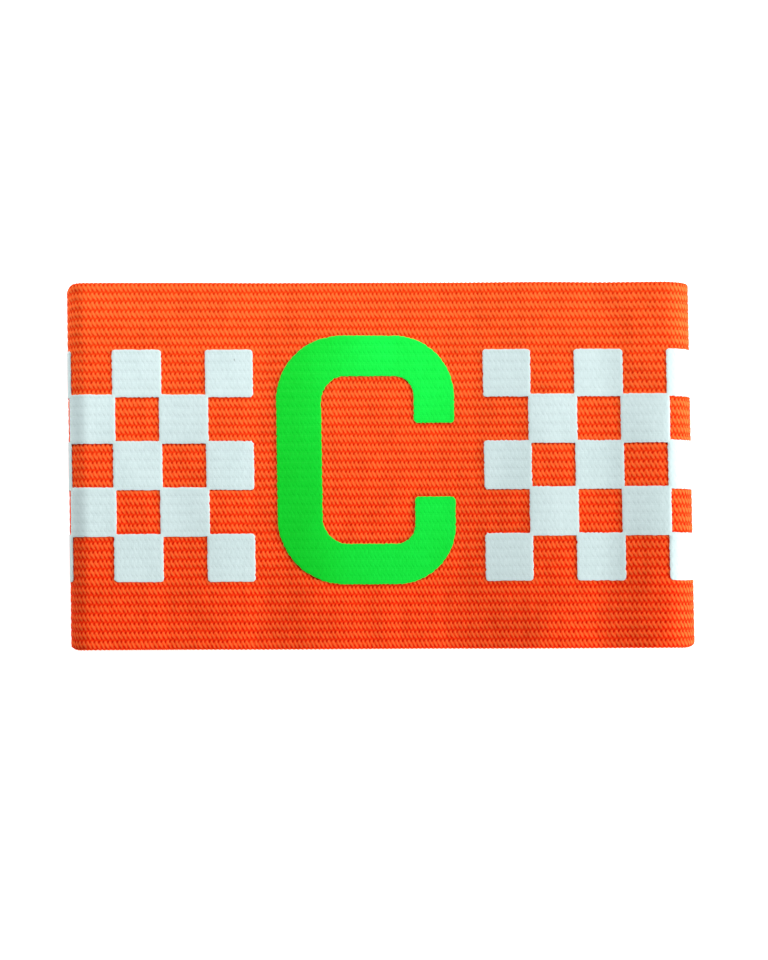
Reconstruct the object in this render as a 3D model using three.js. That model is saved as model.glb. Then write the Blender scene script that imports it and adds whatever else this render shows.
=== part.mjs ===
// Captain armband: one wide loop of ribbed woven elastic that lies flat with its front up.
// A green film letter stands between two chequered panels of white film, which run over the folds.
// Millimetres, +Z up. X runs from fold to fold, Y across the elastic, and the arm hole is open along Y.

import * as THREE from "three";

// Elastic loop
const flatWidth = 127.5; // from fold to fold
const tapeWidth = 75; // from selvedge to selvedge
const wall = 1.6; // over the ribs
const leftFoldHeight = 8.2; // the tight fold, from the floor to its top
const rightFoldHeight = 12; // the sprung fold, from the floor to its top
const foldLean = 1.1; // the near end of a fold stands this far to the right of its far end
const foldNarrowing = 0.5; // each selvedge draws in by this much halfway round a fold
const selvedgeRound = 0.5; // the worn roundness of the selvedges

// Ribs, which run round the loop
const ribPitch = 1.815;
const ribDepth = 0.35;

// Lapped seam, inside the back of the loop
const seamPlace = 16; // to the right of the middle
const seamLength = 12;
const seamRise = 0.9; // the stitches press the lap down to this much over the wall
const seamSlope = 0.4; // each cut edge slopes over this length

// Crests and troughs of the front, in order from the left fold to the right one.
// at is a share of the front between the folds' tops. rise is the height over the left fold's top, as
// a share of the climb from there to the right fold's top.
const frontWaves = [
  { at: 0, rise: 0 },
  { at: 0.16, rise: -0.07 },
  { at: 0.235, rise: 0.07 },
  { at: 0.337, rise: -0.02 },
  { at: 0.54, rise: 0.12 },
  { at: 0.82, rise: 0.68 },
  { at: 0.885, rise: 0.61 },
  { at: 1, rise: 1 },
];

// Film marks
const filmThickness = 0.4;
const filmClearance = 0.15; // from the rib crests to the film's underside

// Letter, as a bar that follows a squared curve with round corners
const letterPlace = -2.4; // its middle, along the face from the middle of the front
const letterLift = 1.1; // its middle, towards the far selvedge
const letterWidth = 36.3;
const letterHeight = 50.7;
const stemWidth = 9.2;
const barWidth = 8.3;
const letterMouth = 15; // between the two ends of the bar
const stemCornerRadius = 5.2; // inside the corners beside the stem
const armCornerRadius = 3.9; // inside the corners beside the mouth

// Chequered panels
const panelHeight = 47.2;
const panelRows = 5;
const leftPanelGap = 4.6; // from the letter
const rightPanelGap = 5.9; // from the letter
const cornerJoin = 0.3; // how far a square reaches past its corner into the next one
const panelWrap = THREE.MathUtils.degToRad(105); // how far a panel may run round a fold
const leastSquare = 1.5; // a last column narrower than this is left off

// Fineness of the meshes
const foldSteps = 10;
const waveStep = 6;
const leastWaveSteps = 3;
const letterStep = 2;

// Colours
const orangeElastic = new THREE.MeshStandardMaterial({ color: 0xf55527, roughness: 0.85, metalness: 0 });
const whiteFilm = new THREE.MeshStandardMaterial({ color: 0xd9ebec, roughness: 0.5, metalness: 0 });
const greenFilm = new THREE.MeshStandardMaterial({ color: 0x18df39, roughness: 0.5, metalness: 0 });

// Outer face of the loop, seen from its near end: along the floor to the left, up round the left
// fold, over the front, and down round the right fold.
const leftRadius = leftFoldHeight / 2;
const rightRadius = rightFoldHeight / 2;
const leftCentre = leftRadius - flatWidth / 2;
const rightCentre = flatWidth / 2 - rightRadius;
const frontRun = rightCentre - leftCentre;

// A stretch of the front between a crest and the next trough, level at both ends.
class Wave extends THREE.Curve {
  constructor(from, to) {
    super();
    this.from = from;
    this.to = to;
  }

  getPoint(share, target = new THREE.Vector2()) {
    const x = THREE.MathUtils.lerp(this.from.x, this.to.x, share);
    const eased = THREE.MathUtils.smoothstep(share, 0, 1);
    return target.set(x, THREE.MathUtils.lerp(this.from.y, this.to.y, eased));
  }
}

function wavePoint({ at, rise }) {
  const climb = rightFoldHeight - leftFoldHeight;
  return new THREE.Vector2(leftCentre + at * frontRun, leftFoldHeight + rise * climb);
}

const down = -Math.PI / 2;
const up = Math.PI / 2;
const floor = new THREE.LineCurve(new THREE.Vector2(rightCentre, 0), new THREE.Vector2(leftCentre, 0));
const leftFold = new THREE.ArcCurve(leftCentre, leftRadius, leftRadius, down, up, true);
const rightFold = new THREE.ArcCurve(rightCentre, rightRadius, rightRadius, up, down, true);
const waves = frontWaves.slice(1).map((row, i) => new Wave(wavePoint(frontWaves[i]), wavePoint(row)));

const face = new THREE.CurvePath();
[floor, leftFold, ...waves, rightFold].forEach((curve) => face.add(curve));
const loopLength = face.getLength();
const floorLength = floor.getLength();
const frontStart = floorLength + leftFold.getLength();
const frontEnd = loopLength - rightFold.getLength();
const frontMiddle = (frontStart + frontEnd) / 2;

// The point at a distance along the outer face, a place across the tape and a height off the face.
function facePoint(along, across, height) {
  const share = THREE.MathUtils.euclideanModulo(along, loopLength) / loopLength;
  const { x, y: z } = face.getPoint(share);
  const heading = face.getTangent(share);
  const drawnIn = 1 - (2 * foldNarrowing * heading.y ** 2) / tapeWidth;
  return new THREE.Vector3(
    x - heading.y * height - (foldLean * across) / tapeWidth,
    across * drawnIn,
    z + heading.x * height,
  );
}

// A closed solid from equal rings of points. Rings run clockwise as seen along the way they follow
// one another. A looped run joins the last ring to the first, and any other has its ends closed.
function ringSolid(rings, looped) {
  const size = rings[0].length;
  const faces = [];
  const joins = looped ? rings.length : rings.length - 1;
  for (let i = 0; i < joins; i += 1) {
    const here = i * size;
    const next = ((i + 1) % rings.length) * size;
    for (let j = 0; j < size; j += 1) {
      const k = (j + 1) % size;
      faces.push(here + j, next + j, next + k, here + j, next + k, here + k);
    }
  }
  if (!looped) {
    const last = (rings.length - 1) * size;
    for (let j = 1; j < size - 1; j += 1) {
      faces.push(0, j, j + 1, last, last + j + 1, last + j);
    }
  }
  return solidFrom(rings.flat(), faces);
}

function solidFrom(points, faces) {
  const geometry = new THREE.BufferGeometry().setFromPoints(points).setIndex(faces);
  geometry.computeVertexNormals();
  return geometry;
}

// Distances along the outer face at which the elastic has a cross-section.
function stationsOf(curve, start, steps) {
  return Array.from({ length: steps }, (_, i) => start + (curve.getLength() * i) / steps);
}

function loopStations() {
  const seamStart = rightCentre - seamPlace - seamLength / 2;
  const seamEnd = seamStart + seamLength;
  const stations = [0, seamStart, seamStart + seamSlope, seamEnd - seamSlope, seamEnd];
  stations.push(...stationsOf(leftFold, floorLength, foldSteps));
  let start = frontStart;
  for (const wave of waves) {
    const steps = Math.max(leastWaveSteps, Math.ceil(wave.getLength() / waveStep));
    stations.push(...stationsOf(wave, start, steps));
    start += wave.getLength();
  }
  stations.push(...stationsOf(rightFold, frontEnd, foldSteps));
  return { stations, lapped: stations.slice(2, 4) };
}

const { stations, lapped } = loopStations();

// One cross-section of the tape. The ribs are pressed flat where the loop rests on the floor.
function tapeRing(along) {
  const edge = tapeWidth / 2;
  const shoulder = edge - selvedgeRound;
  const ribs = Math.round((2 * shoulder) / ribPitch);
  const valley = along > floorLength ? -ribDepth : 0;
  const inside = lapped.includes(along) ? -wall - seamRise : -wall;
  const ring = [];
  for (let i = 0; i <= 2 * ribs; i += 1) {
    const across = -shoulder + (i * shoulder) / ribs;
    ring.push([across, i % 2 === 0 ? valley : 0]);
  }
  ring.push([edge, valley - selvedgeRound], [edge, inside + selvedgeRound]);
  ring.push([shoulder, inside], [-shoulder, inside]);
  ring.push([-edge, inside + selvedgeRound], [-edge, valley - selvedgeRound]);
  return ring.map(([across, height]) => facePoint(along, across, height));
}

const filmTop = filmClearance + filmThickness;
const letterMiddle = frontMiddle + letterPlace;

// The middle line of the letter's bar, from the end of its upper arm round to the end of its lower one.
function letterLine() {
  const armCorner = armCornerRadius + barWidth / 2;
  const stemCorner = stemCornerRadius + barWidth / 2;
  const right = (letterWidth - barWidth) / 2;
  const left = (stemWidth - letterWidth) / 2;
  const top = (letterHeight - barWidth) / 2;
  const line = new THREE.Path();
  line.moveTo(right, letterMouth / 2);
  line.absarc(right - armCorner, top - armCorner, armCorner, 0, Math.PI / 2);
  line.absarc(left + stemCorner, top - stemCorner, stemCorner, Math.PI / 2, Math.PI);
  line.absarc(left + stemCorner, stemCorner - top, stemCorner, Math.PI, 1.5 * Math.PI);
  line.absarc(right - armCorner, armCorner - top, armCorner, 1.5 * Math.PI, 2 * Math.PI);
  line.lineTo(right, -letterMouth / 2);
  return { line, left, stemCorner };
}

// The letter's bar is as wide as the stem along the stem, and narrows to the bars' width round the
// corners beside it.
function letterSolid() {
  const { line, left, stemCorner } = letterLine();
  const steps = Math.ceil(line.getLength() / letterStep);
  const rings = [];
  for (let i = 0; i <= steps; i += 1) {
    const middle = line.getPoint(i / steps);
    const heading = line.getTangent(i / steps);
    const barShare = THREE.MathUtils.smoothstep(middle.x, left, left + stemCorner);
    const half = THREE.MathUtils.lerp(stemWidth, barWidth, barShare) / 2;
    const corner = (side, height) =>
      facePoint(
        letterMiddle + middle.x - side * half * heading.y,
        letterLift + middle.y + side * half * heading.x,
        height,
      );
    rings.push([
      corner(-1, filmTop),
      corner(1, filmTop),
      corner(1, filmClearance),
      corner(-1, filmClearance),
    ]);
  }
  return ringSolid(rings, false);
}

// A film over the filled cells of a grid. Lines across and along the tape bound the cells, and filled
// says whether the film covers a place.
function griddedFilm(alongLines, acrossLines, filled) {
  const columns = alongLines.length - 1;
  const rows = acrossLines.length - 1;
  const covers = (i, j) =>
    i >= 0 && j >= 0 && i < columns && j < rows &&
    filled((alongLines[i] + alongLines[i + 1]) / 2, (acrossLines[j] + acrossLines[j + 1]) / 2);
  const layer = alongLines.length * acrossLines.length;
  const points = [filmTop, filmClearance].flatMap((height) =>
    alongLines.flatMap((along) => acrossLines.map((across) => facePoint(along, across, height))),
  );
  const upper = (i, j) => i * acrossLines.length + j;
  const lower = (i, j) => upper(i, j) + layer;
  const faces = [];
  const quad = (a, b, c, d) => faces.push(a, b, c, a, c, d);
  for (let i = 0; i < columns; i += 1) {
    for (let j = 0; j < rows; j += 1) {
      if (!covers(i, j)) continue;
      quad(upper(i, j), upper(i + 1, j), upper(i + 1, j + 1), upper(i, j + 1));
      quad(lower(i, j), lower(i, j + 1), lower(i + 1, j + 1), lower(i + 1, j));
      if (!covers(i - 1, j)) quad(upper(i, j), upper(i, j + 1), lower(i, j + 1), lower(i, j));
      if (!covers(i, j - 1)) quad(upper(i + 1, j), upper(i, j), lower(i, j), lower(i + 1, j));
      if (!covers(i + 1, j)) {
        quad(upper(i + 1, j + 1), upper(i + 1, j), lower(i + 1, j), lower(i + 1, j + 1));
      }
      if (!covers(i, j + 1)) {
        quad(upper(i, j + 1), upper(i + 1, j + 1), lower(i + 1, j + 1), lower(i, j + 1));
      }
    }
  }
  return solidFrom(points, faces);
}

// A chequered panel that starts beside the letter and runs to its fold. Every second square is film,
// and the squares of one colour join at their corners, so that the panel is one piece.
function chequerSolid(side) {
  const square = panelHeight / panelRows;
  const start = letterMiddle + side * (letterWidth / 2 + (side < 0 ? leftPanelGap : rightPanelGap));
  const fold = side < 0 ? frontStart : frontEnd;
  const wrap = panelWrap * (side < 0 ? leftRadius : rightRadius);
  const reach = side * (fold - start) + wrap;
  const fullColumns = Math.floor(reach / square);
  const spare = reach - fullColumns * square;
  const columnEdges = Array.from({ length: fullColumns + 1 }, (_, i) => i * square);
  if (spare > leastSquare) columnEdges.push(reach);
  const rowEdges = Array.from({ length: panelRows + 1 }, (_, j) => j * square - panelHeight / 2);

  const inSquare = (distance, across) =>
    columnEdges.slice(1).some((columnEnd, i) =>
      rowEdges.slice(1).some((rowEnd, j) =>
        (i + j) % 2 === 0 &&
        distance > columnEdges[i] - cornerJoin &&
        distance < columnEnd + cornerJoin &&
        across > rowEdges[j] - cornerJoin &&
        across < rowEnd + cornerJoin,
      ),
    );
  const filled = (along, across) => inSquare(side * (along - start), across);

  const distances = [columnEdges[0], columnEdges.at(-1)];
  columnEdges.slice(1, -1).forEach((edge) => distances.push(edge - cornerJoin, edge + cornerJoin));
  const bends = stations.filter((along) => {
    const distance = side * (along - start);
    return distances.every((other) => Math.abs(other - distance) > cornerJoin)
      && distance > 0 && distance < columnEdges.at(-1);
  });
  const alongLines = [...distances.map((distance) => start + side * distance), ...bends];
  const acrossLines = [rowEdges[0], rowEdges.at(-1)];
  rowEdges.slice(1, -1).forEach((edge) => acrossLines.push(edge - cornerJoin, edge + cornerJoin));
  const inOrder = (a, b) => a - b;
  return griddedFilm(alongLines.sort(inOrder), acrossLines.sort(inOrder), filled);
}

const armband = new THREE.Group();

function addPiece(name, geometry, material) {
  const piece = new THREE.Mesh(geometry, material);
  piece.name = name;
  armband.add(piece);
}

addPiece("elastic_band", ringSolid(stations.map(tapeRing), true), orangeElastic);
addPiece("captain_letter", letterSolid(), greenFilm);
addPiece("left_chequer", chequerSolid(-1), whiteFilm);
addPiece("right_chequer", chequerSolid(1), whiteFilm);

export default armband;
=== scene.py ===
"""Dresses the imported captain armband: ribbed woven elastic, pressed film marks and a sewn lap.

Sizes are in millimetres and meshes in metres, in the frame of the CAD: +Z up, X from fold to fold,
Y across the elastic. "Along" is a distance on the loop's outer face, "across" a place between its
selvedges, and "height" a distance off the rib crests, outwards.
"""

import logging
import math
from dataclasses import dataclass, field
from enum import Enum
from functools import partial
from typing import Any, Callable, NamedTuple

import bpy
import numpy as np
from bpy.types import Material, Node, NodeSocket, NodeTree, Object
from mathutils import Matrix, Vector


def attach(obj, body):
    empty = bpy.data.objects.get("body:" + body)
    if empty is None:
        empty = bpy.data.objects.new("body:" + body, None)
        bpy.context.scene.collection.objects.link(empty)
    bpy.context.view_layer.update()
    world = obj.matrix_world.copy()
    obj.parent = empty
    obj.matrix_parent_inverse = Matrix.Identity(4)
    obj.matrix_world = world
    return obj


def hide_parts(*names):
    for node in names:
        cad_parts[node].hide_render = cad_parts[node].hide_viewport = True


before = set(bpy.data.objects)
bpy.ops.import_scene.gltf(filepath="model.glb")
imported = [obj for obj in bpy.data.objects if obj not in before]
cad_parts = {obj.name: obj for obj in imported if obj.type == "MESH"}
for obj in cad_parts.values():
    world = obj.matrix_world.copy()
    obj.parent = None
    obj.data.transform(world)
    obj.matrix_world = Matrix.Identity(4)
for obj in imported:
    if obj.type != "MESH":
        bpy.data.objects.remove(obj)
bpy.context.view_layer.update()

BODY = "root"
MM = 0.001
BAKE_LAYOUT = "OFBake"
TAPE_LAYOUT = "tape"

AddNode = Callable[..., Node]
Array = np.ndarray
Pair = tuple[float, float]
Triple = tuple[float, float, float]
SMOOTH = {"interpolation_type": "SMOOTHSTEP"}

log = logging.getLogger("armband")


def linear(hex_colour: str) -> tuple[float, float, float, float]:
    """Turn an sRGB hex colour into the linear colour that shaders take.

    Args:
        hex_colour: Six hex digits after a number sign.

    Returns:
        Linear red, green and blue, and an alpha of one.
    """
    shares = [int(hex_colour[i : i + 2], 16) / 255 for i in (1, 3, 5)]
    red, green, blue = (s / 12.92 if s <= 0.04045 else ((s + 0.055) / 1.055) ** 2.4 for s in shares)
    return red, green, blue, 1.0


def add_node(
    tree: NodeTree, kind: str, inputs: dict[str | int, Any] | None = None, **settings: Any
) -> Node:
    """Add a shader node, set its properties, and fill its inputs.

    Args:
        tree: The node tree that the node goes into.
        kind: The node's type in Blender, without the "ShaderNode" that it starts with.
        inputs: What goes into each input, by its name or number: a value, a socket to link, or a
            node to link by its first output in use.
        settings: Properties of the node.

    Returns:
        The new node.
    """
    node = tree.nodes.new(f"ShaderNode{kind}")
    for name, value in settings.items():
        setattr(node, name, value)
    for name, value in (inputs or {}).items():
        if isinstance(value, Node):
            value = next(socket for socket in value.outputs if socket.enabled)
        if isinstance(value, NodeSocket):
            tree.links.new(value, node.inputs[name])
        else:
            node.inputs[name].default_value = value
    return node


def span(start: Pair, end: Pair = (0.0, 1.0)) -> dict[str, float]:
    """Return the inputs with which a Map Range node turns one pair of values into another."""
    return {"From Min": start[0], "From Max": start[1], "To Min": end[0], "To Max": end[1]}


class Noise(NamedTuple):
    """Settings of a noise texture. Its scale counts swells to a pitch along and to a rib across."""

    scale: float
    detail: float
    roughness: float = 0.5

    def over(self, place: Node) -> dict[str, Any]:
        """Return the inputs of a noise node."""
        return {"Vector": place, "Scale": self.scale, "Detail": self.detail, "Roughness": self.roughness}


def ease(share: Array) -> Array:
    """Ease a share from 0 to 1, level at both ends."""
    return share * share * (3 - 2 * share)


def lengths_along(line: Array) -> Array:
    """Return how long a line of flat points is up to each of them."""
    return np.concatenate([[0.0], np.cumsum(np.hypot(*np.diff(line, axis=0).T))])


class Side(Enum):
    """A side of the letter, with the way to it along the face."""

    LEFT = -1
    RIGHT = 1


@dataclass
class LoopFace:
    """Outer face of the loop, as a path in the XZ plane that is followed by its length.

    The path runs along the floor to the left, up round the left fold, over the front and down round
    the right fold. The widths, the wall and the folds' heights are the CAD's. The tucks, the right
    lean and the waves are the slack of soft cloth, and depart from it by about a millimetre.
    """

    flat_width: float = 127.5
    tape_width: float = 75.0
    wall: float = 1.6
    left_fold_height: float = 8.2
    right_fold_height: float = 12.0
    left_lean: float = 1.1  # the left fold's near end stands this far to the right of its far end
    right_lean: float = 0.65
    # How far the near and the far selvedge draw in, halfway round each fold
    left_tucks: Pair = (0.5, 1.2)
    right_tucks: Pair = (0.8, -0.1)
    tuck_power: int = 8  # the higher, the nearer to the middle of the fold the tuck begins
    # Crests and troughs of the front: share of the run between the folds' tops, and share of the
    # climb from the left fold's top to the right one's
    front_waves: tuple[Pair, ...] = (
        (0.0, 0.0), (0.13, -0.02), (0.235, 0.08), (0.29, 0.05), (0.41, 0.22),
        (0.61, 0.23), (0.82, 0.70), (0.89, 0.67), (1.0, 1.0),
    )
    near_waves: float = 0.4  # the waves are this much higher at the near selvedge, and lower at the far
    samples: int = 240  # points on each curve of the path

    length: float = field(init=False)
    front_start: float = field(init=False)
    front_end: float = field(init=False)
    floor_length: float = field(init=False)
    path: Array = field(init=False, repr=False)
    wave: Array = field(init=False, repr=False)

    def __post_init__(self) -> None:
        """Trace the path as rows of length so far, x, z, and the heading's x and z.

        The wave is the front's height above a straight climb from fold to fold.
        """
        left_radius, right_radius = self.left_fold_height / 2, self.right_fold_height / 2
        left, right = left_radius - self.flat_width / 2, self.flat_width / 2 - right_radius
        climb = self.right_fold_height - self.left_fold_height
        corners = [
            (left + at * (right - left), self.left_fold_height + rise * climb)
            for at, rise in self.front_waves
        ]
        curves = [self._wave((right, 0.0), (left, 0.0)), self._fold(left, left_radius, -90.0)]
        curves += [self._wave(a, b) for a, b in zip(corners, corners[1:])]
        curves.append(self._fold(right, right_radius, 90.0))
        rows, ends = [], [0.0]
        for curve in curves:
            lengths = ends[-1] + lengths_along(curve[:, :2])
            rows.append(np.column_stack([lengths, curve]))
            ends.append(lengths[-1])
        self.path = np.vstack(rows)
        _, self.floor_length, self.front_start, *_, self.front_end, self.length = ends
        run, x, z = self.path[:, :3].T
        level = self.left_fold_height + climb * np.clip((x - left) / (right - left), 0.0, 1.0)
        self.wave = np.where((run > self.front_start) & (run < self.front_end), z - level, 0.0)

    def _wave(self, start: Pair, end: Pair) -> Array:
        """Trace a stretch from a crest to a trough, level at both ends.

        Args:
            start: Where it starts in X and Z.
            end: Where it ends.

        Returns:
            Rows of x, z, and the heading's x and z.
        """
        share = np.linspace(0.0, 1.0, self.samples)
        run, rise = end[0] - start[0], end[1] - start[1]
        heading = np.column_stack([np.full_like(share, run), 6 * share * (1 - share) * rise])
        heading /= np.linalg.norm(heading, axis=1, keepdims=True)
        return np.column_stack([start[0] + share * run, start[1] + ease(share) * rise, heading])

    def _fold(self, centre: float, radius: float, start_deg: float) -> Array:
        """Trace a half turn on the floor, clockwise as seen from the near end.

        Args:
            centre: The X of its centre.
            radius: Its radius.
            start_deg: The angle at which it starts, anticlockwise from +X.

        Returns:
            Rows of x, z, and the heading's x and z.
        """
        angle = np.radians(np.linspace(start_deg, start_deg - 180.0, self.samples))
        x, z = centre + radius * np.cos(angle), radius + radius * np.sin(angle)
        return np.column_stack([x, z, np.sin(angle), -np.cos(angle)])

    @property
    def front_middle(self) -> float:
        """Return the place of the middle of the front."""
        return (self.front_start + self.front_end) / 2

    def fold_radius(self, side: Side) -> float:
        """Return the radius of the fold on one side."""
        return (self.left_fold_height if side is Side.LEFT else self.right_fold_height) / 2

    def point(self, along: Array, across: Array, height: Array) -> Array:
        """Place points on or off the face.

        Args:
            along: Distances along the face.
            across: Places across the tape, positive towards the far selvedge.
            height: Distances off the face, outwards.

        Returns:
            Points in metres, with a last axis of three.
        """
        along, across, height = np.broadcast_arrays(np.mod(along, self.length), across, height)
        lengths = self.path[:, 0]
        x, z, head_x, head_z = (np.interp(along, lengths, self.path[:, i]) for i in (1, 2, 3, 4))
        near, far = (np.where(x < 0, *sides) for sides in zip(self.left_tucks, self.right_tucks))
        tuck = np.where(across > 0, far, near) * head_z**self.tuck_power
        farness = 2 * across / self.tape_width
        y = across - tuck * farness**3
        z = z - self.near_waves * farness * np.interp(along, lengths, self.wave)
        rightness = 0.5 + x / self.flat_width
        lean = self.left_lean + (self.right_lean - self.left_lean) * rightness
        x = x - head_z * height - lean * across / self.tape_width
        return MM * np.stack([x, y, z + head_x * height], axis=-1)


class WeaveRow(NamedTuple):
    """One row of a rib: its share of the rib, its zigzag in pitches, and how deep its yarns lie."""

    share: float
    zigzag: float
    float_depth: float
    groove_depth: float


@dataclass
class Weave:
    """Ribbed weave of the elastic.

    Ribs run round the loop. Yarns cross each rib in a zigzag and dip between two floats, so each rib
    has two rows of pits, half a pitch apart.
    """

    face: LoopFace
    ribs: int = 41
    ribbed_width: float = 74.4
    pit_share: float = 0.205  # place of a rib's pit rows between its valley and its ridge
    pit_reach: Pair = (0.24, 0.13)  # a pit's half sizes, in pitches along and in ribs across
    # Pitch of the pits along the front, which is stretched a little near the folds
    pitch_places: tuple[float, ...] = (0.0, 0.30, 0.50, 0.70, 0.86, 1.0)
    front_pitches: tuple[float, ...] = (0.905, 0.89, 0.85, 0.88, 0.965, 0.93)
    back_pitch: float = 0.89
    samples: int = 2000
    rows: tuple[WeaveRow, ...] = (
        WeaveRow(0.0, 0.0, 0.09, 0.12),
        WeaveRow(0.2, -0.22, 0.02, 0.14),
        WeaveRow(0.38, -0.16, 0.0, 0.03),
        WeaveRow(0.6, 0.08, 0.0, 0.03),
        WeaveRow(0.8, 0.22, 0.02, 0.24),
    )
    front_count: int = field(init=False)
    back_count: int = field(init=False)
    counts: Array = field(init=False, repr=False)

    def __post_init__(self) -> None:
        """Count the pitches from the start of the loop, whole ones on the back and on the front."""
        face = self.face
        along = np.linspace(face.floor_length, face.length, self.samples)
        share = (along - face.floor_length) / (face.length - face.floor_length)
        pitch = np.interp(share, self.pitch_places, self.front_pitches)
        steps = np.diff(along) * 2 / (pitch[1:] + pitch[:-1])
        count = np.concatenate([[0.0], np.cumsum(steps)])
        self.front_count = round(count[-1])
        self.back_count = round(face.floor_length / self.back_pitch)
        front = self.back_count + count * self.front_count / count[-1]
        self.counts = np.column_stack([np.append(0.0, front), np.append(0.0, along)])

    @property
    def rib_pitch(self) -> float:
        """Return the distance from rib to rib."""
        return self.ribbed_width / self.ribs

    def along(self, count: Array) -> Array:
        """Turn a count of pitches from the loop's start into a distance along the face."""
        turns, rest = np.divmod(count, self.counts[-1, 0])
        return turns * self.face.length + np.interp(rest, self.counts[:, 0], self.counts[:, 1])

    def count(self, along: Array) -> Array:
        """Turn a distance along the face into a count of pitches from the loop's start."""
        return np.interp(along, self.counts[:, 1], self.counts[:, 0])

    def rib(self, across: Array) -> Array:
        """Turn a place across the tape into a count of ribs from the near selvedge."""
        return (across + self.ribbed_width / 2) / self.rib_pitch

    def pit(self, along: Array, across: Array) -> Array:
        """Say how near a place is to the middle of a pit.

        Args:
            along: Distances along the face.
            across: Places across the tape.

        Returns:
            One in the middle of a pit, and near zero on the floats.
        """
        rib = np.mod(self.rib(across), 1.0)
        shares = [row.share for row in self.rows] + [1.0]
        zigzags = [row.zigzag for row in self.rows] + [self.rows[0].zigzag]
        count = self.count(along) - np.interp(rib, shares, zigzags)
        off_groove = np.abs(np.mod(count + 0.5, 1.0) - 0.5)
        off_row = np.abs(np.minimum(rib, 1.0 - rib) - self.pit_share)
        return np.exp(-((off_groove / self.pit_reach[0]) ** 2) - (off_row / self.pit_reach[1]) ** 2)


@dataclass(frozen=True)
class WeavePattern:
    """Nodes that know where the weave's pits, ridges and floats are, from the "tape" UV map.

    The map counts pit pitches (0.89 mm) along U and ribs (1.8 mm) along V, so each size below is a
    share of those. A fade is the value at which something hasn't begun, and the one at which it is
    whole.
    """

    # The near row of a rib's pits, and then the far one
    pit_rows: Pair = (0.21, 0.79)  # their places, as shares of a rib
    pit_shifts: Pair = (-0.22, 0.22)  # along the tape, in pitches
    pit_slants: Pair = (-0.85, 0.35)  # in pitches to a rib
    pit_half_lengths: Pair = (0.24, 0.21)  # in ribs
    pit_half_width: float = 0.25  # in pitches, 0.22 mm
    pit_fade: Pair = (1.2, 0.35)  # distance from a pit's middle, in its half sizes
    row_fade: Pair = (0.20, 0.04)  # distance from the middle of a row of pits, in ribs
    float_fade: Pair = (0.24, 0.46)  # distance along the row from a pit's middle, in pitches
    ridge_fade: Pair = (0.06, 0.28)  # distance from the valley, in ribs
    strand_fade: Pair = (0.05, 0.45)  # distance from the line between two strands, in pitches
    near_fade: Pair = (44.0, -3.0)  # ribs from the near selvedge
    uneven_fade: Pair = (0.0, 0.56)  # pits are fainter where the noise is low
    uneven: Noise = Noise(0.75, 1.0)  # one change to about 1.2 mm
    waver: Triple = (0.5, 0.2, 0.0)  # how far the yarns have been pushed about, in pitches and ribs
    push: Noise = Noise(0.9, 2.0, 0.6)  # one push to about 1 mm

    def lay(self, add: AddNode) -> dict[str, Node]:
        """Add the pattern's nodes to a material.

        Args:
            add: Adds a node to the material's tree.

        Returns:
            Nodes by name: uv, pit (1 in a pit), near_pit and far_pit (the same for a rib's near and
            far row), float (1 on the floats between pits), ridge (1 on a rib's top), strand (1 on the
            middle of a strand that slants over a rib, and 0 between two) and near (1 at the outer
            face's near selvedge, and 0 at its far one).
        """
        uv = add("UVMap", uv_map=TAPE_LAYOUT)
        push = add("TexNoise", self.push.over(uv))
        centred = {0: push.outputs["Color"], 1: self.waver, 2: [-reach / 2 for reach in self.waver]}
        moved = add("VectorMath", {0: uv, 1: add("VectorMath", centred, operation="MULTIPLY_ADD")})
        pitches, ribs, _ = add("SeparateXYZ", {0: moved}).outputs
        rib_share = add("Math", {0: ribs}, operation="FRACT")
        uneven = {"Value": add("TexNoise", self.uneven.over(uv))}
        strength = add("MapRange", uneven | span(self.uneven_fade), **SMOOTH)
        pits, floats = [], []
        rows = zip(self.pit_rows, self.pit_half_lengths, self.pit_shifts, self.pit_slants)
        for row, half_length, shift, slant in rows:
            off_row = add("Math", {0: rib_share, 1: row}, operation="SUBTRACT")
            shifted = add("Math", {0: pitches, 1: shift}, operation="SUBTRACT")
            upright = add("Math", {0: off_row, 1: -slant, 2: shifted}, operation="MULTIPLY_ADD")
            off_groove = add("Math", {0: upright, 1: 0.5}, operation="PINGPONG")
            reach = add("Math", {0: off_groove, 1: self.pit_half_width}, operation="DIVIDE")
            up = add("Math", {0: off_row, 1: half_length}, operation="DIVIDE")
            distance = add("VectorMath", {0: add("CombineXYZ", {0: reach, 1: up})}, operation="LENGTH")
            pit = add("MapRange", {"Value": distance} | span(self.pit_fade), **SMOOTH)
            pits.append(add("Math", {0: pit, 1: strength}, operation="MULTIPLY"))
            beside = add("Math", {0: off_row}, operation="ABSOLUTE")
            on_row = add("MapRange", {"Value": beside} | span(self.row_fade), **SMOOTH)
            between = add("MapRange", {"Value": off_groove} | span(self.float_fade), **SMOOTH)
            floats.append(add("Math", {0: on_row, 1: between}, operation="MULTIPLY"))
        twill = add("Math", {0: pitches, 1: ribs})
        off_line = add("Math", {0: twill, 1: 0.5}, operation="PINGPONG")
        off_valley = add("Math", {0: ribs, 1: 0.5}, operation="PINGPONG")
        still_ribs = add("SeparateXYZ", {0: uv}).outputs[1]
        return {
            "uv": uv,
            "near_pit": pits[0],
            "far_pit": pits[1],
            "pit": add("Math", dict(enumerate(pits)), operation="MAXIMUM"),
            "float": add("Math", dict(enumerate(floats)), operation="MAXIMUM"),
            "ridge": add("MapRange", {"Value": off_valley} | span(self.ridge_fade), **SMOOTH),
            "strand": add("MapRange", {"Value": off_line} | span(self.strand_fade), **SMOOTH),
            "near": add("MapRange", {"Value": still_ribs} | span(self.near_fade), **SMOOTH),
        }


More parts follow.
